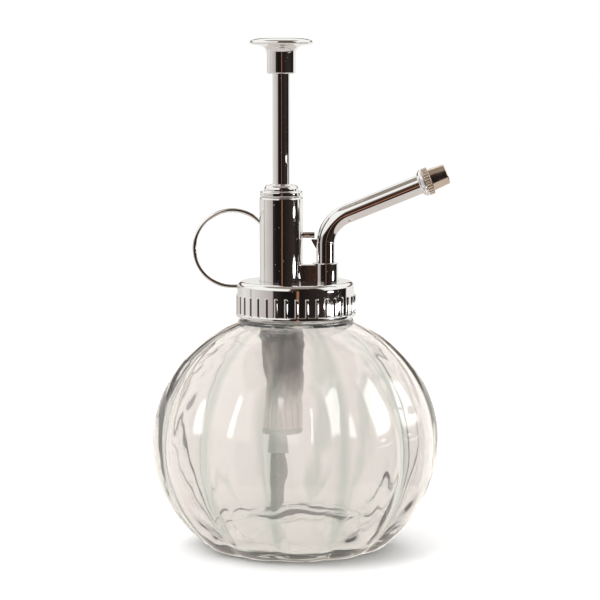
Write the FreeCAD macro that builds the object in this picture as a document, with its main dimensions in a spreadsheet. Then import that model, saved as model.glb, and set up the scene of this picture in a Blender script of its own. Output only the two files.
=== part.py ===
import FreeCAD, Part

import math
import os
import re

import Sketcher
from FreeCAD import Placement, Rotation, Vector

# A glass hand mister: a lobed round bottle, a screw cap, and a plunger pump whose barrel stands beside
# the cap's centre with a swivelling spout on the other side. Millimetres, +Z up, +X towards the spout,
# the origin at the centre of the bottle's base.

SIZES = {
    # glass bottle: an ellipsoid of twelve convex lobes, flattened at the base
    "bottle_radius": 45.0,
    "equator_height": 33.4,
    "dome_above": 41.0,
    "dome_below": 41.8,
    "lobes": 12,
    "crease_angle": 20.0,
    "crease_share": 0.056,
    "base_crease_share": 0.05,
    "glass_wall": 3.0,
    "cavity_middle": 34.0,
    "cavity_above": 39.0,
    "cavity_below": 36.0,
    "cavity_floor": 6.0,
    "cavity_dent": 2.1,
    "push_up_radius": 19.0,
    "push_up_depth": 2.2,
    "shoulder_height": 70.9,
    "neck_foot": 72.4,
    "neck_radius": 15.0,
    "neck_bore": 12.5,
    "rim_height": 80.3,
    "thread_pitch": 4.23,
    "neck_thread_crest": 16.2,
    "neck_thread_start": 74.9,
    "cap_thread_crest": 15.4,
    "cap_thread_start": 74.0,
    # screw cap and gasket
    "cap_radius": 18.4,
    "rib_radius": 18.8,
    "lip_radius": 18.9,
    "cap_bore": 16.6,
    "cap_bottom": 72.9,
    "lip_top": 74.0,
    "ribs": 36,
    "rib_top": 79.9,
    "rib_width": 1.0,
    "rib_angle": 0.7,
    "plate_bottom": 82.3,
    "cap_top": 83.8,
    "cap_rounding": 1.6,
    "gasket_radius": 16.2,
    "seat_gap": 0.02,
    "slip_gap": 0.1,
    "flange_bottom": 81.32,
    # pump body: barrel, bridge, spout socket and locking stud
    "barrel_x": -4.5,
    "barrel_radius": 6.87,
    "barrel_bore": 5.9,
    "barrel_bottom": 37.0,
    "barrel_top": 110.0,
    "barrel_rounding": 0.7,
    "spout_x": 9.25,
    "socket_radius": 4.1,
    "socket_top": 89.5,
    "socket_bore": 3.06,
    "socket_floor": 85.8,
    "bridge_width": 6.0,
    "bridge_top": 89.0,
    "duct_height": 82.7,
    "duct_radius": 0.7,
    "seat_hole_radius": 0.6,
    "seat_hole_top": 83.2,
    "seat_width": 0.9,
    "stud_height": 98.1,
    "stud_radius": 1.05,
    "stud_end": 5.9,
    # pump cylinder, foot valve and dip tube
    "cylinder_bore": 4.5,
    "cylinder_radius": 5.3,
    "cylinder_bottom": 41.0,
    "cylinder_top": 104.0,
    "port_width": 2.0,
    "port_height": 3.5,
    "foot_flange_bottom": 35.5,
    "foot_boss_radius": 3.3,
    "foot_boss_bottom": 29.0,
    "inlet_hole_radius": 1.0,
    "inlet_seat_height": 36.0,
    "inlet_chamber_radius": 2.2,
    "cage_stop_height": 40.3,
    "cage_top": 42.6,
    "cage_bar": 1.2,
    "dip_radius": 2.0,
    "dip_bore": 1.3,
    "dip_bottom": 9.0,
    "dip_top": 34.0,
    "inlet_ball_radius": 1.6,
    "inlet_ball_height": 37.30,
    "outlet_ball_radius": 1.0,
    "outlet_ball_height": 84.04,
    # plunger: knob, rod, piston, seals and return spring
    "rod_radius": 2.7,
    "rod_bore": 2.75,
    "rod_seal_bore": 2.72,
    "rod_tail_radius": 1.8,
    "rod_top": 155.5,
    "piston_radius": 4.35,
    "piston_nose_radius": 3.2,
    "piston_nose_bottom": 94.0,
    "piston_bottom": 96.0,
    "piston_top": 103.9,
    "piston_groove_bottom": 98.4,
    "piston_groove_top": 101.4,
    "piston_seal_radius": 4.45,
    "gland_seat_radius": 4.9,
    "gland_seat_top": 106.4,
    "gland_flange_radius": 6.7,
    "gland_flange_top": 111.9,
    "gland_rounding": 0.6,
    "gland_dome_radius": 5.45,
    "gland_dome_start": 112.3,
    "gland_dome_rounding": 1.45,
    "gland_lip_radius": 3.5,
    "gland_top": 113.95,
    "knob_radius": 9.85,
    "knob_top": 159.0,
    "knob_flat_radius": 5.85,
    "knob_crown_rounding": 9.4,
    "knob_edge_width": 0.59,
    "knob_edge_height": 158.36,
    "knob_edge_rounding": 0.93,
    "knob_rim_top": 157.5,
    "knob_rim_bottom": 157.2,
    "knob_throat_radius": 6.5,
    "knob_throat_height": 156.7,
    "knob_sleeve_radius": 4.45,
    "knob_sleeve_top": 154.2,
    "knob_bottom": 148.1,
    "spring_radius": 3.75,
    "spring_wire_radius": 0.35,
    "spring_turns": 14,
    # spout: straight, bend and straight, then a flare and a spigot inside the nozzle
    "spout_radius": 3.0,
    "spout_bore": 0.9,
    "spout_bottom": 85.85,
    "spout_notch": 0.8,
    "corner_height": 102.0,
    "bend_turn": 68.0,
    "bend_radius": 10.3,
    "flare_start": 31.3,
    "flare_end": 33.1,
    "flare_radius": 4.35,
    "flare_rounding": 4.0,
    "spigot_radius": 2.5,
    "spigot_end": 37.6,
    "core_bore": 1.3,
    "core_start": 34.4,
    "core_head_radius": 1.9,
    "core_end": 38.15,
    "fin_reach": 4.45,
    "fin_top": 96.8,
    "fin_bottom": 93.8,
    "fin_thickness": 1.0,
    "spout_groove_bottom": 87.6,
    "spout_groove_top": 88.7,
    "spout_groove_radius": 2.03,
    "spout_ring_section": 0.5,
    "nozzle_groove_start": 34.6,
    "nozzle_groove_end": 35.4,
    "nozzle_groove_radius": 1.9,
    "nozzle_ring_section": 0.32,
    # nozzle cap
    "nozzle_start": 33.3,
    "knurl_radius": 4.35,
    "knurl_end": 35.2,
    "knurl_teeth": 24,
    "knurl_depth": 0.35,
    "nozzle_radius": 3.52,
    "nozzle_tip_radius": 3.17,
    "nozzle_end": 40.6,
    "nozzle_bore": 2.58,
    "nozzle_bore_end": 38.2,
    "orifice_radius": 0.3,
    # finger ring
    "wire_radius": 0.7,
    "ring_radius": 11.9,
    "ring_x": -19.7,
    "ring_height": 93.9,
    "ring_cap_end": -16.95,
    "ring_barrel_angle": 42.5,
}

doc = FreeCAD.newDocument("hand_mister")
sheet = doc.addObject("Spreadsheet::Sheet", "Sizes")
for row, (alias, size) in enumerate(SIZES.items(), start=1):
    sheet.set(f"A{row}", alias)
    sheet.set(f"B{row}", str(size))
    sheet.setAlias(f"B{row}", alias)
doc.recompute()

NODES = []


def value(expression):
    """The number that an expression in the sheet's aliases comes to."""
    result = sheet.evalExpression(str(expression))
    return float(getattr(result, "Value", result))


def bound(expression):
    """The same expression as another object of the document has to write it."""
    def in_sheet(word):
        return f"Sizes.{word[0]}" if word[0] in SIZES else word[0]

    return re.sub(r"[a-z_]{3,}", in_sheet, str(expression))


def bind(target, path, expression):
    target.setExpression(path, bound(expression))


# ---------------------------------------------------------------- sketches and features


def new_body(name, x="0", z="0", tilt=None):
    """A PartDesign body; tilt turns its own +Z from the vertical towards +X, in degrees."""
    body = doc.addObject("PartDesign::Body", name)
    body.Label = name
    if tilt:
        body.Placement = Placement(Vector(), Rotation(Vector(0, 1, 0), value(tilt)))
        bind(body, "Placement.Rotation.Angle", f"{tilt} * 1deg")
    bind(body, "Placement.Base.x", x)
    bind(body, "Placement.Base.z", z)
    NODES.append(body)
    return body


def new_sketch(body, name, plane, at=("0", "0", "0"), turn=None):
    """A sketch on one of the body's own origin planes, shifted and turned within that plane."""
    sketch = body.newObject("Sketcher::SketchObject", f"{body.Label}_{name}")
    support = next(o for o in body.Origin.OriginFeatures if o.Role == f"{plane}_Plane")
    sketch.AttachmentSupport = [(support, "")]
    sketch.MapMode = "FlatFace"
    if turn:
        sketch.AttachmentOffset = Placement(Vector(), Rotation(Vector(0, 0, 1), value(turn)))
        bind(sketch, "AttachmentOffset.Rotation.Angle", f"({turn}) * 1deg")
    for axis, expression in zip("xyz", at):
        if expression != "0":
            bind(sketch, f"AttachmentOffset.Base.{axis}", expression)
    return sketch


def pin(sketch, geometry, vertex, x, y):
    """Hold a vertex at a place given by two expressions."""
    for kind, expression in (("DistanceX", x), ("DistanceY", y)):
        number = sketch.addConstraint(Sketcher.Constraint(kind, -1, 1, geometry, vertex, value(expression)))
        bind(sketch, f"Constraints[{number}]", expression)


def draw_outline(sketch, corners, closed=True):
    """Lines through the corners. A corner (x, y, radius) starts an arc to the next corner, which turns
    anticlockwise for a positive radius and clockwise for a negative one."""
    spots = [Vector(value(corner[0]), value(corner[1]), 0) for corner in corners]
    edges = len(corners) if closed else len(corners) - 1
    ends = []
    for index in range(edges):
        here, there = spots[index], spots[(index + 1) % len(spots)]
        if len(corners[index]) == 2:
            sketch.addGeometry(Part.LineSegment(here, there))
            ends.append((1, 2))
            continue
        radius = value(corners[index][2])
        chord = there - here
        sagitta_leg = math.sqrt(radius**2 - (chord.Length / 2) ** 2)
        side = Vector(-chord.y, chord.x, 0).normalize() * math.copysign(sagitta_leg, radius)
        centre = (here + there) / 2 + side
        first, last = (here, there) if radius > 0 else (there, here)
        angles = [math.atan2(spot.y - centre.y, spot.x - centre.x) for spot in (first, last)]
        sketch.addGeometry(Part.ArcOfCircle(Part.Circle(centre, Vector(0, 0, 1), abs(radius)), *angles))
        ends.append((1, 2) if radius > 0 else (2, 1))
    for index in range(edges if closed else edges - 1):
        after = (index + 1) % edges
        sketch.addConstraint(Sketcher.Constraint("Coincident", index, ends[index][1], after, ends[after][0]))
    for index in range(edges):
        pin(sketch, index, ends[index][0], *corners[index][:2])
        if len(corners[index]) == 3:
            size = f"abs({corners[index][2]})"
            number = sketch.addConstraint(Sketcher.Constraint("Radius", index, value(size)))
            bind(sketch, f"Constraints[{number}]", size)
    if not closed:
        pin(sketch, edges - 1, ends[-1][1], *corners[-1][:2])
    return sketch


def draw_circle(sketch, x, y, radius):
    centre = Vector(value(x), value(y), 0)
    sketch.addGeometry(Part.Circle(centre, Vector(0, 0, 1), value(radius)))
    pin(sketch, 0, 3, x, y)
    number = sketch.addConstraint(Sketcher.Constraint("Radius", 0, value(radius)))
    bind(sketch, f"Constraints[{number}]", radius)
    return sketch


def rectangle(x0, y0, x1, y1):
    return [(x0, y0), (x1, y0), (x1, y1), (x0, y1)]


def settle(body, feature, before, cuts):
    """Recompute, and stop if an added feature added nothing or a cut took nothing away."""
    body.Tip = feature
    doc.recompute()
    change = body.Shape.Volume - before
    if (cuts and change > -1e-4) or (not cuts and change < 1e-4):
        raise RuntimeError(f"{feature.Name} changed the volume of {body.Label} by {change:.4f}")
    return feature


def volume(body):
    return 0.0 if body.Shape.isNull() else body.Shape.Volume


def turned(body, name, corners, cuts=False, axis="V_Axis", at=("0", "0", "0"), turn=None):
    """A full revolution of an outline, drawn as radius against height beside the sketch's own axis."""
    before = volume(body)
    sketch = draw_outline(new_sketch(body, f"{name}_outline", "XZ", at, turn), corners)
    kind = "PartDesign::Groove" if cuts else "PartDesign::Revolution"
    feature = body.newObject(kind, f"{body.Label}_{name}")
    feature.Profile = sketch
    feature.ReferenceAxis = (sketch, [axis])
    feature.Angle = 360
    return settle(body, feature, before, cuts)


def extruded(body, name, sketch, length, cuts=False, along_normal=True, both_ways=False):
    """A pad or a pocket of a sketch, along the sketch's normal or against it."""
    before = volume(body)
    feature = body.newObject("PartDesign::Pocket" if cuts else "PartDesign::Pad", f"{body.Label}_{name}")
    feature.Profile = sketch
    feature.Midplane = both_ways
    feature.Reversed = along_normal == cuts
    bind(feature, "Length", length)
    return settle(body, feature, before, cuts)


def piped(body, name, profile, path, edges, cuts=False):
    """A profile swept along a path."""
    before = volume(body)
    kind = "PartDesign::SubtractivePipe" if cuts else "PartDesign::AdditivePipe"
    feature = body.newObject(kind, f"{body.Label}_{name}")
    feature.Profile = profile
    feature.Spine = (path, [f"Edge{number}" for number in range(1, edges + 1)])
    return settle(body, feature, before, cuts)


def repeated(body, feature, count, cuts=False):
    """A feature repeated evenly round the body's own Z axis."""
    before = volume(body)
    pattern = body.newObject("PartDesign::PolarPattern", f"{feature.Name}_pattern")
    pattern.Originals = [feature]
    pattern.Axis = (next(o for o in body.Origin.OriginFeatures if o.Role == "Z_Axis"), [""])
    pattern.Angle = 360
    bind(pattern, "Occurrences", count)
    return settle(body, pattern, before, cuts)


def part_object(kind, name, sizes, x="0", z="0", tilt=None):
    """A Part primitive with its sizes and its place bound to the sheet."""
    solid = doc.addObject(kind, name)
    solid.Label = name
    if tilt:
        solid.Placement = Placement(Vector(), Rotation(Vector(0, 1, 0), value(tilt)))
        bind(solid, "Placement.Rotation.Angle", f"{tilt} * 1deg")
    for size, expression in sizes.items():
        bind(solid, size, expression)
    bind(solid, "Placement.Base.x", x)
    bind(solid, "Placement.Base.z", z)
    NODES.append(solid)
    return solid


def thread_ridge(root, crest, start, root_width, crest_width, start_angle):
    """One turn of a right-hand thread ridge. It is sunk a little into the wall that carries it."""
    inwards = math.copysign(0.2, root - crest)
    pitch = value("thread_pitch")
    helix = Part.makeHelix(pitch, pitch, min(root, crest))
    corners = [
        Vector(root + inwards, 0, -root_width / 2),
        Vector(crest, 0, -crest_width / 2),
        Vector(crest, 0, crest_width / 2),
        Vector(root + inwards, 0, root_width / 2),
    ]
    section = Part.makePolygon(corners + corners[:1])
    ridge = Part.Wire(helix.Edges).makePipeShell([section], True, True)
    ridge.rotate(Vector(), Vector(0, 0, 1), start_angle)
    ridge.translate(Vector(0, 0, start))
    return ridge


# ---------------------------------------------------------------- bottle


def lobed_wire(radius, dent, height):
    """Convex arcs from crease to crease: crests at the radius, creases sunk by the dent."""
    lobes = int(value("lobes"))
    step = 2 * math.pi / lobes
    first = math.radians(value("crease_angle"))

    def spot(r, angle):
        return Vector(r * math.cos(angle), r * math.sin(angle), height)

    arcs = []
    for lobe in range(lobes):
        start = first + lobe * step
        ends = spot(radius - dent, start), spot(radius - dent, start + step)
        arcs.append(Part.Arc(ends[0], spot(radius, start + step / 2), ends[1]).toShape())
    return Part.Wire(arcs)


def outer_sections(count):
    """The outside of the bottle from its base to its shoulder, at even steps of the ellipse's angle."""
    radius, equator = value("bottle_radius"), value("equator_height")
    below, above = value("dome_below"), value("dome_above")
    shoulder = value("shoulder_height")
    low = math.acos(equator / below)
    high = math.acos((equator - shoulder) / above)
    for index in range(count + 1):
        angle = low + (high - low) * index / count
        height = equator - (below if angle < math.pi / 2 else above) * math.cos(angle)
        if height > equator:
            share = value("crease_share") * (1 - ((height - equator) / (shoulder - equator)) ** 4)
        else:
            fade = ((equator - height) / equator) ** 2
            share = value("crease_share") + (value("base_crease_share") - value("crease_share")) * fade
        section_radius = radius * math.sin(angle)
        yield lobed_wire(section_radius, section_radius * share, height)


def cavity_sections(count):
    """The inside of the bottle: its lobes follow the outside's low down and fade towards the neck."""
    radius = value("bottle_radius - glass_wall")
    middle, below, above = value("cavity_middle"), value("cavity_below"), value("cavity_above")
    low = math.acos((middle - value("cavity_floor")) / below)
    high = math.pi - math.asin(value("neck_bore") / radius)
    for index in range(count + 1):
        angle = low + (high - low) * index / count
        height = middle - (below if angle < math.pi / 2 else above) * math.cos(angle)
        fade = math.sin(math.pi * (index / count) ** 0.6) ** 1.5
        yield lobed_wire(radius * math.sin(angle), value("cavity_dent") * fade, height)


def make_bottle():
    sections = list(outer_sections(12))
    outside = Part.makeLoft(sections, True, False)
    shoulder, rim = value("shoulder_height"), value("rim_height")
    foot, neck = value("neck_foot"), value("neck_radius")
    collar = sections[-1].BoundBox.XLength / 2
    edge = 0.3
    outline = [
        (0, shoulder), (collar, shoulder), (collar, foot - 2 * edge), (collar - edge, foot - edge),
        (neck + edge, foot), (neck, foot + edge), (neck, rim - edge), (neck - edge, rim), (0, rim),
    ]
    points = [Vector(r, 0, z) for r, z in outline]
    neck_solid = Part.Face(Part.makePolygon(points + points[:1])).revolve(Vector(), Vector(0, 0, 1), 360)
    ridge = thread_ridge(neck, value("neck_thread_crest"), value("neck_thread_start"), 2.2, 1.0, 0)
    inside_sections = list(cavity_sections(12))
    inside = Part.makeLoft(inside_sections, True, False)
    bore_start = inside_sections[-1].BoundBox.ZMin
    bore = Part.makeCylinder(value("neck_bore"), rim - bore_start + 1, Vector(0, 0, bore_start))
    reach, depth = value("push_up_radius"), value("push_up_depth")
    ball = (reach**2 + depth**2) / (2 * depth)
    push_up = Part.makeSphere(ball, Vector(0, 0, depth - ball))
    bottle = doc.addObject("Part::Feature", "bottle")
    bottle.Label = "bottle"
    bottle.Shape = outside.fuse(neck_solid).fuse(ridge).cut(inside.fuse(bore)).cut(push_up).Solids[0]
    bottle.Placement = Placement()
    NODES.append(bottle)


# ---------------------------------------------------------------- cap and gasket


def make_gasket():
    body = new_body("neck_gasket")
    bottom, top = "rim_height + seat_gap", "flange_bottom - seat_gap"
    turned(body, "ring", rectangle("neck_bore + slip_gap", bottom, "gasket_radius", top))


def make_cap():
    """The cap's shell and ribs, the opening that the pump body stands in, and the thread inside."""
    shell = new_body("screw_cap_shell")
    NODES.remove(shell)
    edge = "slip_gap * 2"
    turned(shell, "shell", [
        ("cap_bore", "cap_bottom"),
        (f"lip_radius - {edge}", "cap_bottom"),
        ("lip_radius", f"cap_bottom + {edge}"),
        ("lip_radius", f"lip_top - {edge}"),
        (f"lip_radius - {edge}", "lip_top"),
        ("cap_radius", "lip_top"),
        ("cap_radius", "cap_top - cap_rounding", "cap_rounding"),
        ("cap_radius - cap_rounding", "cap_top"),
        ("0", "cap_top"),
        ("0", "plate_bottom"),
        ("cap_bore", "plate_bottom"),
    ])
    rib_sketch = new_sketch(shell, "rib_outline", "XY", ("0", "0", "lip_top"), "rib_angle")
    draw_outline(rib_sketch, rectangle("cap_radius - 0.4", "-rib_width / 2", "rib_radius", "rib_width / 2"))
    rib = extruded(shell, "rib", rib_sketch, "rib_top - lip_top")
    repeated(shell, rib, "ribs")
    plate = ("0", "0", "cap_top")
    depth = "cap_top - plate_bottom"
    for name, x, radius in (("barrel", "barrel_x", "barrel_radius"), ("socket", "spout_x", "socket_radius")):
        round_hole = new_sketch(shell, f"{name}_hole", "XY", plate)
        draw_circle(round_hole, x, "0", f"{radius} + slip_gap")
        extruded(shell, f"{name}_opening", round_hole, depth, cuts=True, along_normal=False)
    half = "bridge_width / 2 + slip_gap"
    slot = draw_outline(new_sketch(shell, "slot_outline", "XY", plate),
                        rectangle("barrel_x", f"-({half})", "spout_x", half))
    extruded(shell, "slot", slot, depth, cuts=True, along_normal=False)
    wire_height = "ring_height - ring_radius"
    wire_hole = draw_circle(new_sketch(shell, "wire_hole", "YZ", ("0", "0", "ring_cap_end")),
                            "0", wire_height, "wire_radius")
    extruded(shell, "wire_opening", wire_hole, "cap_radius + ring_cap_end + 1", cuts=True, along_normal=False)

    start, pitch = value("cap_thread_start"), value("thread_pitch")
    lag = start - (value("neck_thread_start") - pitch / 2)
    wall, crest = value("cap_bore"), value("cap_thread_crest")
    ridge = doc.addObject("Part::Feature", "cap_thread")
    ridge.Shape = thread_ridge(wall, crest, start, 1.6, 0.7, 360 * lag / pitch)
    cap = doc.addObject("Part::Fuse", "screw_cap")
    cap.Label = "screw_cap"
    cap.Base, cap.Tool = shell, ridge
    cap.Refine = True
    doc.recompute()
    NODES.append(cap)


# ---------------------------------------------------------------- pump body


def make_pump_body():
    """The moulded body: a flange under the cap's plate, the barrel through it, and the spout's socket
    beside the barrel with the outlet valve's seat in its floor."""
    body = new_body("pump_body", x="barrel_x")
    socket_x = "spout_x - barrel_x"
    turned(body, "barrel", [
        ("0", "barrel_bottom"),
        ("barrel_radius", "barrel_bottom"),
        ("barrel_radius", "barrel_top - barrel_rounding", "barrel_rounding"),
        ("barrel_radius - barrel_rounding", "barrel_top"),
        ("0", "barrel_top"),
    ])
    flange = draw_circle(new_sketch(body, "flange_outline", "XY", ("0", "0", "flange_bottom")),
                         "-barrel_x", "0", "gasket_radius")
    extruded(body, "flange", flange, "plate_bottom - flange_bottom")
    half = "bridge_width / 2"
    bridge = draw_outline(new_sketch(body, "bridge_outline", "XY", ("0", "0", "plate_bottom")),
                          rectangle("barrel_bore", f"-{half}", socket_x, half))
    extruded(body, "bridge", bridge, "bridge_top - plate_bottom")
    edge = "slip_gap * 3"
    turned(body, "socket", [
        ("0", "plate_bottom"),
        ("socket_radius", "plate_bottom"),
        ("socket_radius", f"socket_top - {edge}"),
        (f"socket_radius - {edge}", "socket_top"),
        ("0", "socket_top"),
    ], at=(socket_x, "0", "0"))
    stud = draw_circle(new_sketch(body, "stud_outline", "YZ", ("0", "0", "barrel_bore + 0.3")),
                       "0", "stud_height", "stud_radius")
    extruded(body, "stud", stud, "stud_end - barrel_x - barrel_bore - 0.3")
    turned(body, "bore", rectangle("0", "barrel_bottom", "barrel_bore", "barrel_top"), cuts=True)
    turned(body, "socket_bore", [
        ("0", "duct_height"),
        ("seat_hole_radius", "duct_height"),
        ("seat_hole_radius", "seat_hole_top"),
        ("seat_hole_radius + seat_width", "seat_hole_top + seat_width"),
        ("seat_hole_radius + seat_width", "socket_floor"),
        ("socket_bore", "socket_floor"),
        ("socket_bore", "socket_top"),
        ("0", "socket_top"),
    ], cuts=True, at=(socket_x, "0", "0"))
    duct = draw_circle(new_sketch(body, "duct_outline", "YZ", ("0", "0", socket_x)),
                       "0", "duct_height", "duct_radius")
    extruded(body, "duct", duct, f"{socket_x} - barrel_bore + 0.3", cuts=True, along_normal=False)


def make_cylinder():
    """The liner that the piston runs in. Water leaves it through the ports at its foot and rises
    outside it, inside the barrel, to the duct; its collar closes that passage at the top."""
    body = new_body("pump_cylinder", x="barrel_x")
    turned(body, "wall", [
        ("cylinder_bore", "cylinder_bottom"),
        ("cylinder_radius", "cylinder_bottom"),
        ("cylinder_radius", "cylinder_top - 2"),
        ("barrel_bore", "cylinder_top - 1.4"),
        ("barrel_bore", "cylinder_top"),
        ("cylinder_bore", "cylinder_top"),
    ])
    for plane in ("XZ", "YZ"):
        port = draw_outline(new_sketch(body, f"port_{plane}", plane),
                            rectangle("-port_width / 2", "cylinder_bottom - 1",
                                      "port_width / 2", "cylinder_bottom + port_height"))
        extruded(body, f"ports_{plane}", port, "cylinder_radius * 3", cuts=True, both_ways=True)


def make_gland_nut():
    body = new_body("gland_nut", x="barrel_x")
    turned(body, "nut", [
        ("gland_seat_radius", "cylinder_top"),
        ("barrel_bore", "cylinder_top"),
        ("barrel_bore", "barrel_top"),
        ("gland_flange_radius - gland_rounding", "barrel_top", "gland_rounding"),
        ("gland_flange_radius", "barrel_top + gland_rounding"),
        ("gland_flange_radius", "gland_flange_top - gland_rounding", "gland_rounding"),
        ("gland_flange_radius - gland_rounding", "gland_flange_top"),
        ("gland_dome_radius", "gland_flange_top"),
        ("gland_dome_radius", "gland_dome_start", "gland_dome_rounding"),
        ("gland_dome_radius - gland_dome_rounding", "gland_dome_start + gland_dome_rounding"),
        ("gland_lip_radius", "gland_dome_start + gland_dome_rounding"),
        ("gland_lip_radius - 0.2", "gland_top"),
        ("rod_bore", "gland_top"),
        ("rod_bore", "gland_seat_top"),
        ("gland_seat_radius", "gland_seat_top"),
    ])


def make_rod_seal():
    body = new_body("rod_seal", x="barrel_x")
    turned(body, "lips", [
        ("rod_seal_bore", "cylinder_top"),
        ("rod_seal_bore + 0.6", "cylinder_top"),
        ("rod_seal_bore + 1.1", "cylinder_top + 1.2"),
        ("rod_seal_bore + 1.6", "cylinder_top"),
        ("gland_seat_radius", "cylinder_top"),
        ("gland_seat_radius", "gland_seat_top"),
        ("rod_seal_bore", "gland_seat_top"),
    ])


# ---------------------------------------------------------------- plunger


def make_knob():
    """A mushroom-shaped thumb knob: a nearly flat top, a thin rim, a hollow throat and a sleeve."""
    body = new_body("knob", x="barrel_x")
    turned(body, "button", [
        ("rod_radius", "knob_bottom"),
        ("knob_sleeve_radius - 0.3", "knob_bottom"),
        ("knob_sleeve_radius", "knob_bottom + 0.3"),
        ("knob_sleeve_radius", "knob_sleeve_top", "-(knob_throat_height - knob_sleeve_top + 0.05)"),
        ("knob_throat_radius", "knob_throat_height"),
        ("knob_radius - 0.2", "knob_rim_bottom"),
        ("knob_radius", "knob_rim_top", "knob_edge_rounding"),
        ("knob_radius - knob_edge_width", "knob_edge_height", "knob_crown_rounding"),
        ("knob_flat_radius", "knob_top"),
        ("0", "knob_top"),
        ("0", "rod_top"),
        ("rod_radius", "rod_top"),
    ])


def make_rod():
    body = new_body("plunger_rod", x="barrel_x")
    turned(body, "rod", [
        ("0", "piston_nose_bottom + 1.5"),
        ("rod_tail_radius", "piston_nose_bottom + 1.5"),
        ("rod_tail_radius", "piston_top"),
        ("rod_radius", "piston_top"),
        ("rod_radius", "rod_top"),
        ("0", "rod_top"),
    ])


def make_piston():
    body = new_body("piston", x="barrel_x")
    turned(body, "piston", [
        ("0", "piston_nose_bottom"),
        ("piston_nose_radius", "piston_nose_bottom"),
        ("piston_nose_radius", "piston_bottom"),
        ("piston_radius", "piston_bottom"),
        ("piston_radius", "piston_groove_bottom"),
        ("piston_nose_radius", "piston_groove_bottom"),
        ("piston_nose_radius", "piston_groove_top"),
        ("piston_radius", "piston_groove_top"),
        ("piston_radius", "piston_top"),
        ("rod_tail_radius", "piston_top"),
        ("rod_tail_radius", "piston_nose_bottom + 1.5"),
        ("0", "piston_nose_bottom + 1.5"),
    ])


def make_piston_seal():
    body = new_body("piston_seal", x="barrel_x")
    bottom, top = "piston_groove_bottom + seat_gap", "piston_groove_top - seat_gap"
    turned(body, "cup", [
        ("piston_nose_radius", bottom),
        ("piston_nose_radius + 0.3", bottom),
        ("piston_nose_radius + 0.6", f"{bottom} + 1.3"),
        ("piston_nose_radius + 0.95", bottom),
        ("piston_seal_radius", bottom),
        ("piston_seal_radius", top),
        ("piston_nose_radius", top),
    ])


def make_spring():
    """A compression spring between the inlet cage and the piston, with one closed turn at each end."""
    radius, wire = value("spring_radius"), value("spring_wire_radius")
    turns = int(value("spring_turns"))
    low, high = value("cage_top") + wire, value("piston_bottom") - wire
    closed_rise = 2.05 * wire
    open_rise = (high - low - 2 * closed_rise) / (turns - 2)
    steps = 12

    def height(turn):
        if turn < 1:
            return low + closed_rise * turn
        if turn > turns - 1:
            return high - closed_rise * (turns - turn)
        return low + closed_rise + open_rise * (turn - 1)

    points = []
    for index in range(turns * steps + 1):
        angle = 2 * math.pi * index / steps
        points.append(Vector(radius * math.cos(angle), radius * math.sin(angle), height(index / steps)))
    coil = Part.BSplineCurve()
    coil.interpolate(points)
    heading = coil.tangent(coil.FirstParameter)[0]
    section = Part.Wire(Part.makeCircle(wire, points[0], heading))
    spring = doc.addObject("Part::Feature", "return_spring")
    spring.Label = "return_spring"
    spring.Shape = Part.Wire(coil.toShape()).makePipeShell([section], True, True)
    spring.Placement = Placement(Vector(value("barrel_x"), 0, 0), Rotation())
    NODES.append(spring)


# ---------------------------------------------------------------- inlet


def make_foot_valve():
    """The barrel's bottom plug, with the inlet valve's seat above and the dip tube's socket below."""
    body = new_body("foot_valve", x="barrel_x")
    turned(body, "plug", [
        ("dip_radius", "foot_boss_bottom"),
        ("foot_boss_radius", "foot_boss_bottom"),
        ("foot_boss_radius", "foot_flange_bottom - 1.2"),
        ("foot_boss_radius + 1.2", "foot_flange_bottom"),
        ("barrel_radius", "foot_flange_bottom"),
        ("barrel_radius", "barrel_bottom"),
        ("barrel_bore", "barrel_bottom"),
        ("barrel_bore", "cylinder_bottom"),
        ("inlet_chamber_radius", "cylinder_bottom"),
        ("inlet_chamber_radius", "inlet_seat_height + inlet_chamber_radius - inlet_hole_radius"),
        ("inlet_hole_radius", "inlet_seat_height"),
        ("inlet_hole_radius", "dip_top"),
        ("dip_radius", "dip_top"),
    ])


def cross_outline(reach, half):
    """A plus sign of four equal arms."""
    quarter = [(reach, f"-({half})"), (reach, half), (half, half)]
    corners = []
    for _ in range(4):
        corners += quarter
        quarter = [(f"-({y})", x) for x, y in quarter]
    return corners


def make_cage():
    """The ring that holds the inlet ball down and seats the spring, with a cross above the ball."""
    body = new_body("inlet_ball_cage", x="barrel_x")
    ring = rectangle("inlet_chamber_radius + 0.4", "cylinder_bottom", "cylinder_bore - 0.1", "cage_top")
    turned(body, "ring", ring)
    bars = draw_outline(new_sketch(body, "bars_outline", "XY", ("0", "0", "cylinder_bottom")),
                        cross_outline("inlet_chamber_radius + 0.8", "cage_bar / 2"))
    extruded(body, "bars", bars, "cage_top - cylinder_bottom")
    stop = draw_outline(new_sketch(body, "stop_outline", "XY", ("0", "0", "cage_stop_height")),
                        cross_outline("inlet_chamber_radius - 0.2", "cage_bar / 2"))
    extruded(body, "stop", stop, "cylinder_bottom - cage_stop_height")


def make_dip_tube():
    body = new_body("dip_tube", x="barrel_x")
    turned(body, "tube", rectangle("dip_bore", "dip_bottom", "dip_radius", "dip_top"))
    slant = draw_outline(new_sketch(body, "slant_outline", "XZ"), [
        ("-dip_radius - 1", "dip_bottom - 1"),
        ("dip_radius + 1", "dip_bottom - 1"),
        ("dip_radius + 1", "dip_bottom + dip_radius + 1"),
    ])
    extruded(body, "slant", slant, "dip_radius * 3", cuts=True, both_ways=True)


def make_balls():
    for name, x in (("inlet_ball", "barrel_x"), ("outlet_ball", "spout_x")):
        part_object("Part::Sphere", name, {"Radius": f"{name}_radius"}, x, f"{name}_height")


# ---------------------------------------------------------------- spout and nozzle

TANGENT = "bend_radius * tan(bend_turn / 2 * 1deg)"
RISE = "cos(bend_turn * 1deg)"
REACH = "sin(bend_turn * 1deg)"
NOZZLE_TILT = "90 - bend_turn"


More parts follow.
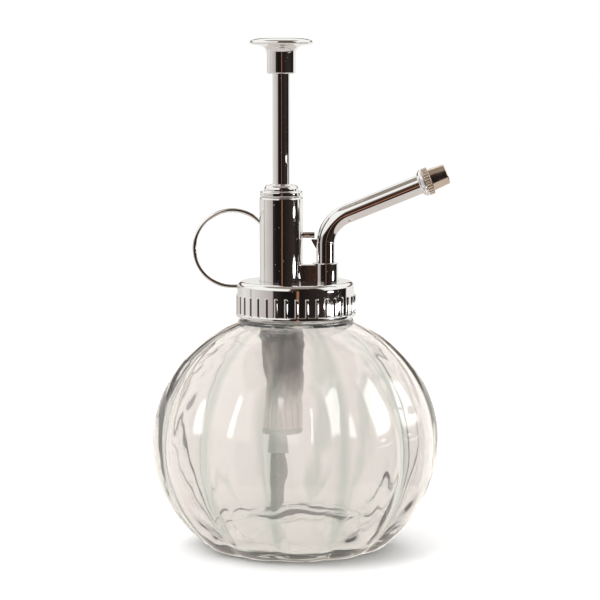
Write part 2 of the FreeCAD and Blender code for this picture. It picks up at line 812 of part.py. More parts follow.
def make_spout():
    """A bent tube with a lock fin at its back, a flare at its end and a spigot beyond the flare."""
    body = new_body("spout_tube")
    path = draw_outline(new_sketch(body, "path", "XZ"), [
        ("spout_x", "spout_bottom"),
        ("spout_x", f"corner_height - {TANGENT}", "-bend_radius"),
        (f"spout_x + {TANGENT} * {REACH}", f"corner_height + {TANGENT} * {RISE}"),
        (f"spout_x + (flare_start + 0.6) * {REACH}", f"corner_height + (flare_start + 0.6) * {RISE}"),
    ], closed=False)
    end = ("0", "0", "spout_bottom")
    outside = draw_circle(new_sketch(body, "outside", "XY", end), "spout_x", "0", "spout_radius")
    piped(body, "tube", outside, path, 3)
    along = ("spout_x", "corner_height", "0")
    turned(body, "flare", [
        ("flare_start", "0"),
        ("spigot_end", "0"),
        ("spigot_end", "spigot_radius"),
        ("flare_end", "spigot_radius"),
        ("flare_end", "flare_radius - 0.1"),
        ("flare_end - 0.2", "flare_radius", "flare_rounding"),
        ("flare_start", "spout_radius"),
    ], axis="H_Axis", at=along, turn=NOZZLE_TILT)
    fin = draw_outline(new_sketch(body, "fin_outline", "XZ"), [
        ("spout_x - fin_reach", "fin_top"),
        ("spout_x - fin_reach", "fin_top - 0.4"),
        ("spout_x - spout_radius", "fin_bottom"),
        ("spout_x - spout_radius / 2", "fin_bottom"),
        ("spout_x - spout_radius / 2", "fin_top"),
    ])
    extruded(body, "fin", fin, "fin_thickness", both_ways=True)
    inside = draw_circle(new_sketch(body, "inside", "XY", end), "spout_x", "0", "spout_bore")
    piped(body, "bore", inside, path, 3, cuts=True)
    turned(body, "spigot_bore", [
        ("flare_start", "0"),
        ("spigot_end", "0"),
        ("spigot_end", "core_bore"),
        ("core_start", "core_bore"),
        ("core_start", "spout_bore"),
        ("flare_start", "spout_bore"),
    ], cuts=True, axis="H_Axis", at=along, turn=NOZZLE_TILT)
    groove = rectangle("nozzle_groove_start", "nozzle_groove_radius", "nozzle_groove_end", "spigot_radius")
    turned(body, "spigot_groove", groove, cuts=True, axis="H_Axis", at=along, turn=NOZZLE_TILT)
    lower_groove = rectangle("spout_groove_radius", "spout_groove_bottom", "spout_radius", "spout_groove_top")
    turned(body, "foot_groove", lower_groove, cuts=True, at=("spout_x", "0", "0"))
    half = "spout_notch / 2"
    notch = draw_outline(new_sketch(body, "notch_outline", "XZ", ("spout_x", "0", "0")),
                         rectangle(f"-{half}", "spout_bottom - 1", half, "spout_bottom + spout_notch"))
    extruded(body, "notch", notch, "spout_radius * 3", cuts=True, both_ways=True)


def make_seal_rings():
    part_object("Part::Torus", "spout_seal_ring",
                {"Radius1": "spout_groove_radius + spout_ring_section", "Radius2": "spout_ring_section"},
                "spout_x", "(spout_groove_bottom + spout_groove_top) / 2")
    middle = "(nozzle_groove_start + nozzle_groove_end) / 2"
    part_object("Part::Torus", "nozzle_seal_ring",
                {"Radius1": "nozzle_groove_radius + nozzle_ring_section", "Radius2": "nozzle_ring_section"},
                f"spout_x + {middle} * {REACH}", f"corner_height + {middle} * {RISE}", tilt="bend_turn")


def make_nozzle_core():
    """The swirl insert: a fluted stem in the spigot and a slotted head against the nozzle's front."""
    body = new_body("nozzle_core", x="spout_x", z="corner_height", tilt="bend_turn")
    turned(body, "stem", [
        ("0", "core_start"),
        ("core_bore", "core_start"),
        ("core_bore", "spigot_end"),
        ("core_head_radius", "spigot_end"),
        ("core_head_radius", "core_end"),
        ("0", "core_end"),
    ])
    flute = draw_circle(new_sketch(body, "flute_outline", "XY", ("0", "0", "core_start")),
                        "core_bore", "0", "core_bore / 4")
    groove = extruded(body, "flute", flute, "core_end - core_start", cuts=True)
    repeated(body, groove, "3", cuts=True)


def make_nozzle_cap():
    """The adjustable nozzle: a knurled ring, a slightly tapered body and a small orifice."""
    body = new_body("nozzle_cap", x="spout_x", z="corner_height", tilt="bend_turn")
    edge = "slip_gap * 2"
    turned(body, "shell", [
        ("nozzle_bore", "nozzle_start"),
        (f"knurl_radius - {edge}", "nozzle_start"),
        ("knurl_radius", f"nozzle_start + {edge}"),
        ("knurl_radius", f"knurl_end - {edge}"),
        (f"knurl_radius - {edge}", "knurl_end"),
        ("nozzle_radius", "knurl_end"),
        ("nozzle_tip_radius", "nozzle_end - 0.25"),
        ("nozzle_tip_radius - 0.25", "nozzle_end"),
        ("1.3", "nozzle_end"),
        ("orifice_radius", "nozzle_end - 1"),
        ("orifice_radius", "nozzle_bore_end + 0.7"),
        ("orifice_radius * 3", "nozzle_bore_end + 0.7"),
        ("orifice_radius * 3", "nozzle_bore_end"),
        ("nozzle_bore", "nozzle_bore_end"),
    ])
    half = "3.14159 * knurl_radius / knurl_teeth / 2"
    notch = draw_outline(new_sketch(body, "knurl_outline", "XY", ("0", "0", "nozzle_start")), [
        ("knurl_radius - knurl_depth", "0"),
        ("knurl_radius + 0.1", f"-({half})"),
        ("knurl_radius + 0.1", half),
    ])
    groove = extruded(body, "knurl", notch, "knurl_end - nozzle_start", cuts=True)
    repeated(body, groove, "knurl_teeth", cuts=True)


def make_finger_ring():
    """A wire loop from the cap's rim round to the barrel's side."""
    body = new_body("finger_ring")
    low = "ring_height - ring_radius"
    turn = "ring_barrel_angle * 1deg"
    path = draw_outline(new_sketch(body, "path", "XZ"), [
        ("ring_cap_end", low),
        ("ring_x", low, "-ring_radius"),
        ("ring_x - ring_radius", "ring_height", "-ring_radius"),
        ("ring_x", "ring_height + ring_radius", "-ring_radius"),
        (f"ring_x + ring_radius * cos({turn})", f"ring_height + ring_radius * sin({turn})"),
    ], closed=False)
    section = new_sketch(body, "section", "YZ", ("0", "0", "ring_cap_end"))
    piped(body, "wire", draw_circle(section, "0", low, "wire_radius"), path, 4)


# ---------------------------------------------------------------- build, check and write

for make in (
    make_bottle, make_gasket, make_cap, make_pump_body, make_cylinder, make_gland_nut, make_rod_seal,
    make_knob, make_rod, make_piston, make_piston_seal, make_spring, make_foot_valve, make_cage,
    make_dip_tube, make_balls, make_spout, make_seal_rings, make_nozzle_core, make_nozzle_cap,
    make_finger_ring,
):
    make()
doc.recompute()

for item in doc.Objects:
    if "Invalid" in item.State or "Error" in item.State:
        raise RuntimeError(f"{item.Name} did not recompute: {item.State}")
os.makedirs("parts", exist_ok=True)
for node in NODES:
    shape = node.Shape
    if shape.isNull() or not shape.isValid() or len(shape.Solids) != 1:
        raise RuntimeError(f"{node.Label} is not one valid solid")
for node in NODES:
    node.Shape.exportStep(f"parts/{node.Label}.step")
    box = node.Shape.BoundBox
    print(f"{node.Label:18s} volume {node.Shape.Volume:9.2f}  x {box.XMin:7.2f} {box.XMax:7.2f}"
          f"  y {box.YMin:7.2f} {box.YMax:7.2f}  z {box.ZMin:7.2f} {box.ZMax:7.2f}")
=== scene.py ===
import math
from types import SimpleNamespace

import bmesh
import bpy
from mathutils import Matrix, Vector


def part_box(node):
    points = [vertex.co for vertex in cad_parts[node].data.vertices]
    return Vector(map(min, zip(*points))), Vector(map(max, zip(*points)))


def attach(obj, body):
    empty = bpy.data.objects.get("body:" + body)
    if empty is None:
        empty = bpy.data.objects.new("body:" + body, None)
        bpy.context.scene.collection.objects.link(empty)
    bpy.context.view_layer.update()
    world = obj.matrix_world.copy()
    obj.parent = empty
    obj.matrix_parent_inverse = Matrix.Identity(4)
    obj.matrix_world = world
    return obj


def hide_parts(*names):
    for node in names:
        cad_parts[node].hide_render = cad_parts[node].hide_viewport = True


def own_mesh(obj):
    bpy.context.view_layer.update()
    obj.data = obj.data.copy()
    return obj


# A glass hand mister. Outlines are written in millimetres in the row frame, most of them taken from the
# boxes of the CAD nodes, and become metres when a mesh is made.

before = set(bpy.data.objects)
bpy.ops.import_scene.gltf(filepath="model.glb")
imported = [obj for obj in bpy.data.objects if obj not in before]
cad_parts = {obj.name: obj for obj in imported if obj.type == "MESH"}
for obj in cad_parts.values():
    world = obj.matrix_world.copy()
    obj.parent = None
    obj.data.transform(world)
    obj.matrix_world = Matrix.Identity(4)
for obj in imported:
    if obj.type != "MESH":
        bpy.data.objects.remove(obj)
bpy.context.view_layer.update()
MM = 0.001


def measured(node):
    """A CAD node's box in millimetres: its extents, its middle across X and half its width."""
    low, high = (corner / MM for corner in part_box(node))
    return SimpleNamespace(left=low.x, right=high.x, bottom=low.z, top=high.z, depth=high.y - low.y,
                           middle=(low.x + high.x) / 2, radius=(high.x - low.x) / 2)


BOTTLE = measured("bottle")
CAP = measured("screw_cap")
BODY = measured("pump_body")
GLAND = measured("gland_nut")
KNOB = measured("knob")
ROD = measured("plunger_rod")
PISTON = measured("piston")
SPRING = measured("return_spring")
SPOUT = measured("spout_tube")
RING = measured("finger_ring")
SOCKET_RING = measured("spout_seal_ring")

AXIS = ROD.middle            # the pump's axis, beside the bottle's own
SPOUT_X = SOCKET_RING.middle
COLUMNS = 192

LOBES = 12
HALF_LOBE = math.pi / LOBES
CREASE_ANGLE = math.radians(20)
CREASE_SOFTNESS = math.radians(2)
THREAD_PITCH = 4.23
NECK_THREAD_START = 74.9
CAP_THREAD_START = 74.0
BARREL_RADIUS = 6.87
BARREL_BORE = 5.9
SOCKET_RADIUS = 4.1
SOCKET_BORE = 3.06
BRIDGE_WIDTH = 6.0
WIRE_RADIUS = 0.7
BEND = math.radians(68)
CORNER = Vector((SPOUT_X, 0, 102.0))     # where the spout's two straight lines would meet
ALONG = Vector((math.sin(BEND), 0, math.cos(BEND)))
SPOUT_RADIUS = 3.0
SPIGOT_RADIUS = 2.5
SPIGOT_END = 37.6                        # from the corner, along the spout


# ---------------------------------------------------------------- outlines


def with_arcs(corners, closed=False):
    """Points along an outline. A corner (r, z, radius) starts an arc to the next corner, anticlockwise
    for a positive radius and clockwise for a negative one."""
    points = []
    for index, corner in enumerate(corners):
        here = Vector(corner[:2])
        points.append(here)
        if len(corner) == 2 or (index + 1 == len(corners) and not closed):
            continue
        there = Vector(corners[(index + 1) % len(corners)][:2])
        chord = there - here
        leg = math.sqrt(corner[2] ** 2 - (chord.length / 2) ** 2)
        centre = (here + there) / 2 + Vector((-chord.y, chord.x)).normalized() * math.copysign(leg, corner[2])
        sweep = 2 * math.asin(chord.length / 2 / abs(corner[2])) * math.copysign(1, corner[2])
        steps = max(3, math.ceil(abs(sweep) / math.radians(7)))
        for step in range(1, steps):
            turn = Matrix.Rotation(sweep * step / steps, 2)
            points.append(centre + turn @ (here - centre))
    return points


def softened(points, radius, closed=False):
    """The same outline with every corner sharper than 25 degrees rounded off."""
    result = []
    count = len(points)
    for index, point in enumerate(points):
        if not closed and index in (0, count - 1):
            result.append(point)
            continue
        before, after = points[index - 1] - point, points[(index + 1) % count] - point
        turn = math.pi - before.angle(after)
        if turn < math.radians(25):
            result.append(point)
            continue
        cut = min(radius * math.tan(turn / 2), 0.4 * before.length, 0.4 * after.length)
        start, end = point + before.normalized() * cut, point + after.normalized() * cut
        for share in (0, 0.25, 0.5, 0.75, 1):
            result.append(start.lerp(point, share).lerp(point.lerp(end, share), share))
    return result


# ---------------------------------------------------------------- meshes


def make_piece(name, vertices, faces, sharp=35):
    mesh = bpy.data.meshes.new(name)
    mesh.from_pydata([Vector(vertex) * MM for vertex in vertices], [], faces)
    tidy = bmesh.new()
    tidy.from_mesh(mesh)
    bmesh.ops.recalc_face_normals(tidy, faces=tidy.faces)
    tidy.to_mesh(mesh)
    tidy.free()
    shade(mesh, sharp)
    piece = bpy.data.objects.new(name, mesh)
    bpy.context.scene.collection.objects.link(piece)
    return piece


def shade(mesh, sharp):
    mesh.polygons.foreach_set("use_smooth", [True] * len(mesh.polygons))
    mesh.set_sharp_from_angle(angle=math.radians(sharp))


def skin(name, rings, loop=False, sharp=35):
    """A mesh over a stack of rings, each a closed row of points or one point. A loop joins up its ends."""
    vertices, faces, starts = [], [], []
    for ring in rings:
        starts.append(len(vertices))
        vertices += ring
    for index in range(len(rings) if loop else len(rings) - 1):
        other = (index + 1) % len(rings)
        columns = max(len(rings[index]), len(rings[other]))
        for column in range(columns):
            corners = []
            for ring, places in ((index, (column, column + 1)), (other, (column + 1, column))):
                corners += [starts[ring] + place % len(rings[ring]) for place in places]
            faces.append(tuple(dict.fromkeys(corners)))
    return make_piece(name, vertices, faces, sharp)


def ring_at(radius, height, middle=0.0, columns=COLUMNS):
    """A level ring. The radius is a number or a function of the angle."""
    points = []
    for column in range(columns):
        angle = 2 * math.pi * column / columns
        reach = radius(angle) if callable(radius) else radius
        points.append((middle + reach * math.cos(angle), reach * math.sin(angle), height))
    return points


def lathe(name, outline, middle=AXIS, closed=False, columns=COLUMNS, edge=0.12):
    """An outline of radius against height turned about a vertical axis, its corners a little rounded."""
    points = with_arcs(outline, closed)
    if edge:
        points = softened(points, edge, closed)
    rings = []
    for point in points:
        on_axis = point.x < 1e-6
        rings.append([(middle, 0, point.y)] if on_axis else ring_at(point.x, point.y, middle, columns))
    return skin(name, rings, loop=closed)


def sweep(name, stations, columns=32, loop=False, rounded_ends=False):
    """Rings of a radius square to a line in the XZ plane or in space: (centre, direction, radius)."""
    rings = []
    side = None
    for centre, direction, radius in stations:
        direction = direction.normalized()
        if side is None:
            side = direction.orthogonal().normalized()
        side = (side - direction * side.dot(direction)).normalized()
        other = direction.cross(side)
        ring = []
        for column in range(columns):
            angle = 2 * math.pi * column / columns
            ring.append(centre + (side * math.cos(angle) + other * math.sin(angle)) * radius)
        rings.append(ring)
    if rounded_ends:
        for end, place in ((0, 0), (-1, len(rings) + 1)):
            centre, direction, radius = stations[end]
            outwards = direction.normalized() * (-1 if end == 0 else 1)
            rings.insert(place, [centre + outwards * radius * 0.4])
    return skin(name, rings, loop=loop, sharp=50)


def block(name, low, high, edge=0.0):
    """A block with its upper edges rounded, drawn as a loft of level rounded rectangles."""
    def level(inset, height):
        x0, x1, y0, y1 = low[0], high[0], low[1] + inset, high[1] - inset
        return [(x0, y0, height), (x1, y0, height), (x1, y1, height), (x0, y1, height)]

    rings = [[((low[0] + high[0]) / 2, (low[1] + high[1]) / 2, low[2])], level(0, low[2])]
    for step in range(5):
        angle = math.pi / 2 * step / 4
        rings.append(level(edge * (1 - math.cos(angle)), high[2] - edge * (1 - math.sin(angle))))
    rings.append([((low[0] + high[0]) / 2, (low[1] + high[1]) / 2, high[2])])
    return skin(name, rings)


def rod_along_x(name, start, end, height, radius, edge=0.15):
    """A round bar along X with a rounded far end."""
    along = Vector((1, 0, 0))
    stations = [(Vector((start, 0, height)), along, radius)]
    for step in range(5):
        angle = math.pi / 2 * step / 4
        place = Vector((end - edge * (1 - math.sin(angle)), 0, height))
        stations.append((place, along, radius - edge * (1 - math.cos(angle))))
    return sweep(name, stations, columns=48)


def capped(piece):
    """Fill the open ends of a swept mesh."""
    mesh = bmesh.new()
    mesh.from_mesh(piece.data)
    rims = [edge for edge in mesh.edges if edge.is_boundary]
    bmesh.ops.holes_fill(mesh, edges=rims)
    bmesh.ops.recalc_face_normals(mesh, faces=mesh.faces)
    mesh.to_mesh(piece.data)
    mesh.free()
    shade(piece.data, 35)
    return piece


def closed_up(mesh):
    """Join the points that a boolean leaves a few micrometres apart and fill the slits between them."""
    tidy = bmesh.new()
    tidy.from_mesh(mesh)
    bmesh.ops.remove_doubles(tidy, verts=tidy.verts, dist=3e-6)
    bmesh.ops.holes_fill(tidy, edges=[edge for edge in tidy.edges if edge.is_boundary], sides=0)
    bmesh.ops.recalc_face_normals(tidy, faces=tidy.faces)
    tidy.to_mesh(mesh)
    tidy.free()


def combined(piece, others, operation):
    """The piece with other closed meshes added to it or cut from it."""
    for other in others:
        change = piece.modifiers.new("combine", "BOOLEAN")
        change.operation = operation
        change.solver = "EXACT"
        change.object = other
    graph = bpy.context.evaluated_depsgraph_get()
    mesh = bpy.data.meshes.new_from_object(piece.evaluated_get(graph))
    piece.modifiers.clear()
    closed_up(mesh)
    piece.data = mesh
    for other in others:
        bpy.data.objects.remove(other)
    shade(mesh, 35)
    return piece


def settle(piece, body, material_slot, *nodes):
    """The piece moves with a body, wears the slot's material and stands for its CAD nodes."""
    piece.data.materials.clear()
    piece.data.materials.append(MATERIALS[material_slot])
    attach(piece, body)
    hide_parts(*nodes)
    return piece


# ---------------------------------------------------------------- materials


def new_material(name):
    material = bpy.data.materials.new(name)
    material.use_nodes = True
    return material, material.node_tree, material.node_tree.nodes["Principled BSDF"]


def noise(tree, size, detail=4.0, stretch=(1, 1, 1)):
    """Noise on the piece's own coordinates, with features of about a size in millimetres."""
    place = tree.nodes.new("ShaderNodeTexCoord")
    mapping = tree.nodes.new("ShaderNodeMapping")
    mapping.inputs["Scale"].default_value = stretch
    texture = tree.nodes.new("ShaderNodeTexNoise")
    texture.inputs["Scale"].default_value = 1 / (size * MM)
    texture.inputs["Detail"].default_value = detail
    tree.links.new(place.outputs["Object"], mapping.inputs["Vector"])
    tree.links.new(mapping.outputs["Vector"], texture.inputs["Vector"])
    return texture.outputs["Fac"]


def own_axes(tree):
    """The piece's own coordinates as X, Y and Z sockets."""
    place = tree.nodes.new("ShaderNodeTexCoord")
    parts = tree.nodes.new("ShaderNodeSeparateXYZ")
    tree.links.new(place.outputs["Object"], parts.inputs["Vector"])
    return parts.outputs


def math_node(tree, operation, *values):
    node = tree.nodes.new("ShaderNodeMath")
    node.operation = operation
    for socket, value in zip(node.inputs, values):
        if isinstance(value, (int, float)):
            socket.default_value = value
        else:
            tree.links.new(value, socket)
    return node.outputs["Value"]


def blended(tree, factor, first, second):
    """Two colours mixed by a factor. A colour is a socket or three numbers, the factor a socket or one."""
    node = tree.nodes.new("ShaderNodeMix")
    node.data_type = "RGBA"
    sockets = [socket for socket in node.inputs if socket.type == "RGBA"]
    factor_socket = next(socket for socket in node.inputs if socket.type == "VALUE" and socket.enabled)
    if isinstance(factor, float):
        factor_socket.default_value = factor
    else:
        tree.links.new(factor, factor_socket)
    for socket, colour in zip(sockets, (first, second)):
        if isinstance(colour, tuple):
            socket.default_value = (*colour, 1)
        else:
            tree.links.new(colour, socket)
    return next(socket for socket in node.outputs if socket.type == "RGBA")


def spread(tree, source, low, high, start=0.35, end=0.65):
    """The source between two levels turned into a number between low and high."""
    levels = tree.nodes.new("ShaderNodeMapRange")
    for name, number in (("From Min", start), ("From Max", end), ("To Min", low), ("To Max", high)):
        levels.inputs[name].default_value = number
    tree.links.new(source, levels.inputs["Value"])
    return levels.outputs["Result"]


def colours(tree, source, stops):
    """A colour ramp over the source. A stop is a place from 0 to 1 and a linear colour."""
    node = tree.nodes.new("ShaderNodeValToRGB")
    ramp = node.color_ramp
    while len(ramp.elements) < len(stops):
        ramp.elements.new(0.5)
    for element, (place, colour) in zip(ramp.elements, stops):
        element.position = place
        element.color = (*colour, 1)
    tree.links.new(source, node.inputs["Fac"])
    return node.outputs["Color"]


def bump(tree, shader, height, strength, distance):
    node = tree.nodes.new("ShaderNodeBump")
    node.inputs["Strength"].default_value = strength
    node.inputs["Distance"].default_value = distance * MM
    tree.links.new(height, node.inputs["Height"])
    tree.links.new(node.outputs["Normal"], shader.inputs["Normal"])


def polished_metal(name, light, dark, rough_low, rough_high, painted_dark_below=0.0, pale_below=0.0):
    """Plated metal: faint cloudiness, smudges and fine rubbing marks along its length. Inside the bottle the
    plating carries a painted dark reflection below one height, and below another its colour fades to pale."""
    material, tree, shader = new_material(name)
    shader.inputs["Metallic"].default_value = 1.0
    cloud = noise(tree, 9.0)
    smudge = noise(tree, 4.0, detail=6.0)
    rubbing = noise(tree, 0.25, detail=2.0, stretch=(1, 1, 0.03))
    shine = colours(tree, cloud, [(0.35, dark), (0.6, light)])
    # Painted reflection: a dark band of reflected room, mottled by noise, is painted into the base colour
    # below one height, and lower down the colour fades to pale.
    if painted_dark_below:
        upwards = own_axes(tree)["Z"]
        reflection_mottle = noise(tree, 13.0, detail=3.0, stretch=(1, 1, 0.45))
        painted_dark_reflection = colours(tree, reflection_mottle, [(0.40, (0.03, 0.028, 0.026)), (0.54, (0.11, 0.10, 0.095)),
                                      (0.66, (0.40, 0.38, 0.36))])
        pale_lower_colour = (0.74, 0.71, 0.69)
        for height, fade, colour in ((painted_dark_below, 3, painted_dark_reflection), (pale_below, 14, pale_lower_colour)):
            higher = spread(tree, upwards, 0.0, 1.0, (height - fade) * MM, height * MM)
            shine = blended(tree, higher, colour, shine)
    tree.links.new(shine, shader.inputs["Base Color"])
    marks = math_node(tree, "MULTIPLY", spread(tree, smudge, 0.4, 1.0, 0.45, 0.7),
                      spread(tree, rubbing, 0.6, 1.0))
    worn = spread(tree, marks, rough_low, rough_high, 0.2, 1.0)
    flecks = spread(tree, noise(tree, 0.7, detail=1.0, stretch=(1, 1, 0.6)), 0.0, 0.45, 0.73, 0.78)
    tree.links.new(math_node(tree, "MAXIMUM", worn, flecks), shader.inputs["Roughness"])
    bump(tree, shader, noise(tree, 2.6, detail=3.0), 0.10, 0.03)
    return material


def clear_glass():
    """Soda-lime glass: a slight green in its depth, along its creases and low down, drawn-out waves in
    its skin and a few dull specks."""
    material, tree, shader = new_material("glass")
    shader.inputs["Transmission Weight"].default_value = 0.955
    shader.inputs["IOR"].default_value = 1.5
    haze = noise(tree, 7.0, detail=5.0)
    axes = own_axes(tree)
    turn = math_node(tree, "ADD", math_node(tree, "ARCTAN2", axes["Y"], axes["X"]), HALF_LOBE - CREASE_ANGLE)
    off_crest = math_node(tree, "PINGPONG", turn, HALF_LOBE)
    thick = math_node(tree, "MAXIMUM", spread(tree, off_crest, 0, 1, HALF_LOBE * 0.7, HALF_LOBE * 0.95),
                      spread(tree, axes["Z"], 0.6, 0.0, 3 * MM, 11 * MM))
    tree.links.new(colours(tree, thick, [(0.0, (0.995, 0.99, 0.985)), (1.0, (0.79, 0.84, 0.81))]),
                   shader.inputs["Base Color"])
    tree.links.new(spread(tree, haze, 0.0, 0.02, 0.62, 0.85), shader.inputs["Roughness"])
    bump(tree, shader, noise(tree, 13.0, detail=1.5, stretch=(1, 1, 0.5)), 0.5, 1.7)
    depth = tree.nodes.new("ShaderNodeVolumeAbsorption")
    depth.inputs["Color"].default_value = (0.62, 0.74, 0.66, 1)
    depth.inputs["Density"].default_value = 12.0
    tree.links.new(depth.outputs["Volume"], tree.nodes["Material Output"].inputs["Volume"])
    return material


def moulded_plastic(name, light, dark, roughness, clear=0.0):
    """Injection-moulded plastic: a fine matt grain, slow shade changes and, where clear, a milky depth."""
    material, tree, shader = new_material(name)
    shader.inputs["Transmission Weight"].default_value = clear
    shader.inputs["IOR"].default_value = 1.49
    shade_map = noise(tree, 5.0)
    tree.links.new(colours(tree, shade_map, [(0.3, dark), (0.7, light)]), shader.inputs["Base Color"])
    grain = noise(tree, 0.3, detail=3.0)
    tree.links.new(spread(tree, grain, roughness * 0.8, roughness * 1.25), shader.inputs["Roughness"])
    bump(tree, shader, grain, 0.15, 0.02)
    return material


def rubber(name, light, dark):
    """Black seal rubber with a dusty bloom and fine pitting."""
    material, tree, shader = new_material(name)
    shader.inputs["Specular IOR Level"].default_value = 0.35
    bloom = noise(tree, 1.6, detail=6.0)
    tree.links.new(colours(tree, bloom, [(0.35, dark), (0.75, light)]), shader.inputs["Base Color"])
    tree.links.new(spread(tree, bloom, 0.55, 0.8), shader.inputs["Roughness"])
    bump(tree, shader, noise(tree, 0.15, detail=4.0), 0.3, 0.02)
    return material


def make_materials():
    return {
        "glass": clear_glass(),
        # The chrome has a painted dark reflection below 70 mm, and its colour fades to pale from 57 mm down.
        "chrome": polished_metal("chrome", (0.94, 0.935, 0.93), (0.90, 0.89, 0.885), 0.015, 0.07,
                                 painted_dark_below=70.0, pale_below=57.0),
        "nickel": polished_metal("nickel", (0.84, 0.73, 0.62), (0.76, 0.64, 0.53), 0.10, 0.24),
        "spring_steel": polished_metal("spring_steel", (0.62, 0.62, 0.63), (0.48, 0.48, 0.5), 0.18, 0.35),
        "ball_steel": polished_metal("ball_steel", (0.75, 0.75, 0.76), (0.68, 0.68, 0.69), 0.05, 0.15),
        "pump_plastic": moulded_plastic("pump_plastic", (0.86, 0.87, 0.86), (0.78, 0.80, 0.79), 0.38),
        "tube_plastic": moulded_plastic("tube_plastic", (0.93, 0.93, 0.91), (0.86, 0.87, 0.85), 0.22, 0.45),
        "gasket_rubber": rubber("gasket_rubber", (0.62, 0.61, 0.59), (0.48, 0.47, 0.46)),
        "seal_rubber": rubber("seal_rubber", (0.07, 0.07, 0.072), (0.025, 0.025, 0.027)),
    }


# ---------------------------------------------------------------- bottle


def lobed(radius, dent):
    """Convex arcs from crease to crease, the creases sunk by the dent and a little rounded."""
    crease = Vector(((radius - dent) * math.cos(HALF_LOBE), (radius - dent) * math.sin(HALF_LOBE)))
    centre = ((radius - dent) ** 2 - radius**2) / (2 * (crease.x - radius))

    def reach(angle):
        from_crease = (angle - CREASE_ANGLE) % (2 * HALF_LOBE)
        nearness = min(from_crease, 2 * HALF_LOBE - from_crease)
        softness = CREASE_SOFTNESS * (1 - nearness / HALF_LOBE)
        off_crest = HALF_LOBE - math.hypot(nearness, softness)
        across = centre * math.sin(off_crest)
        return centre * math.cos(off_crest) + math.sqrt((radius - centre) ** 2 - across**2)

    return reach


def thread_height(angle, height, start, depth, root_width, crest_width):
    """How far one turn of thread stands up at a place; its ends run out over 25 degrees."""
    middle = start + THREAD_PITCH * angle / (2 * math.pi)
    off = abs(height - middle)
    flank = (root_width - crest_width) / 2
    rise = min(max((root_width / 2 - off) / flank, 0), 1)
    run_out = min(angle, 2 * math.pi - angle) / math.radians(25)
    return depth * rise * min(run_out, 1)


def dome_rows(radius, middle, below, above, low, high, count):
    """Radius and height along the two half-ellipses that the bottle's inside and outside follow."""
    for index in range(count + 1):
        angle = low + (high - low) * index / count
        yield radius * math.sin(angle), middle - (below if angle < math.pi / 2 else above) * math.cos(angle)


def make_bottle():
    """Outside from the push-up to the rim, then down the neck's bore and the cavity to its floor."""
    radius = BOTTLE.radius / math.cos(HALF_LOBE / 3)
    equator, below, above, shoulder = 33.4, 41.8, 41.0, 70.9
    neck, bore, rim, foot, rounding = 15.0, 12.5, BOTTLE.top, 72.4, 0.6
    push_up, push_depth = 19.0, 2.2
    crease_share, lost_low_down, corner_share, flat_share = 0.056, 0.006, 0.05, 0.049
    wall_rows, thread_rows, inner_rows = 80, 40, 70
    columns = LOBES * 24
    rows = []                      # radius, height, crease depth; no depth where the thread runs

    ball = (push_up**2 + push_depth**2) / (2 * push_depth)
    for step in range(1, 9):
        reach = push_up * step / 8
        rows.append((reach, push_depth - ball + math.sqrt(ball**2 - reach**2), 0))
    low, high = math.acos(equator / below), math.acos((equator - shoulder) / above)
    wall = list(dome_rows(radius, equator, below, above, low, high, wall_rows))
    base = wall[0][0]
    for share in (0.25, 0.5, 0.75):
        reach = push_up + (base - push_up) * share
        rows.append((reach, 0, reach * flat_share * share**2))
    base_round = 3
    corner, after = Vector((base, 0)), Vector(wall[base_round])
    before = Vector((base - (after - corner).length, 0))
    for step in range(1, 7):
        share = step / 7
        point = before.lerp(corner, share).lerp(corner.lerp(after, share), share)
        rows.append((point.x, point.y, point.x * corner_share))
    for reach, height in wall[base_round:]:
        if height > equator:
            share = crease_share * (1 - ((height - equator) / (shoulder - equator)) ** 4)
        else:
            share = crease_share - lost_low_down * ((equator - height) / equator) ** 2
        rows.append((reach, height, reach * share))
    collar = wall[-1][0]
    rows += [(collar, foot - 0.9, 0), (collar - 0.1, foot - 0.5, 0), (collar - 0.35, foot - 0.25, 0),
             (neck + 1.2, foot, 0), (neck + 0.4, foot + 0.08, 0), (neck, foot + 0.5, 0)]
    for step in range(1, thread_rows + 1):
        rows.append((neck, foot + 0.5 + (rim - rounding - foot - 0.5) * step / thread_rows, None))
    for step in range(1, 6):
        angle = math.pi / 2 * step / 5
        rows.append((neck - rounding * (1 - math.cos(angle)), rim - rounding * (1 - math.sin(angle)), 0))
    for step in range(6):
        angle = math.pi / 2 * step / 5
        rows.append((bore + rounding * (1 - math.sin(angle)), rim - rounding * (1 - math.cos(angle)), 0))

    inner, middle, floor = radius - 3.0, 34.0, 6.0
    inner_below, inner_above, inner_dent = 36.0, 39.0, 2.1
    low = math.acos((middle - floor) / inner_below)
    high = math.pi - math.asin(bore / inner)
    inside = list(dome_rows(inner, middle, inner_below, inner_above, low, high, inner_rows))
    for index in range(len(inside) - 1, -1, -1):
        reach, height = inside[index]
        fade = math.sin(math.pi * (index / inner_rows) ** 0.6) ** 1.5
        rows.append((reach, height, inner_dent * fade))
    for share in (0.75, 0.5, 0.25):
        rows.append((inside[0][0] * share, floor, 0))

    rings = [[(0, 0, push_depth)]]
    for reach, height, dent in rows:
        if dent is None:
            def shape(angle, reach=reach, height=height):
                return reach + thread_height(angle, height, NECK_THREAD_START,
                                             depth=1.2, root_width=2.2, crest_width=1.0)
        elif dent > 0.01:
            shape = lobed(reach, dent)
        else:
            shape = reach
        rings.append(ring_at(shape, height, columns=columns))
    rings.append([(0, 0, floor)])
    settle(skin("bottle_glass", rings, sharp=60), "bottle", "glass", "bottle")


# ---------------------------------------------------------------- cap


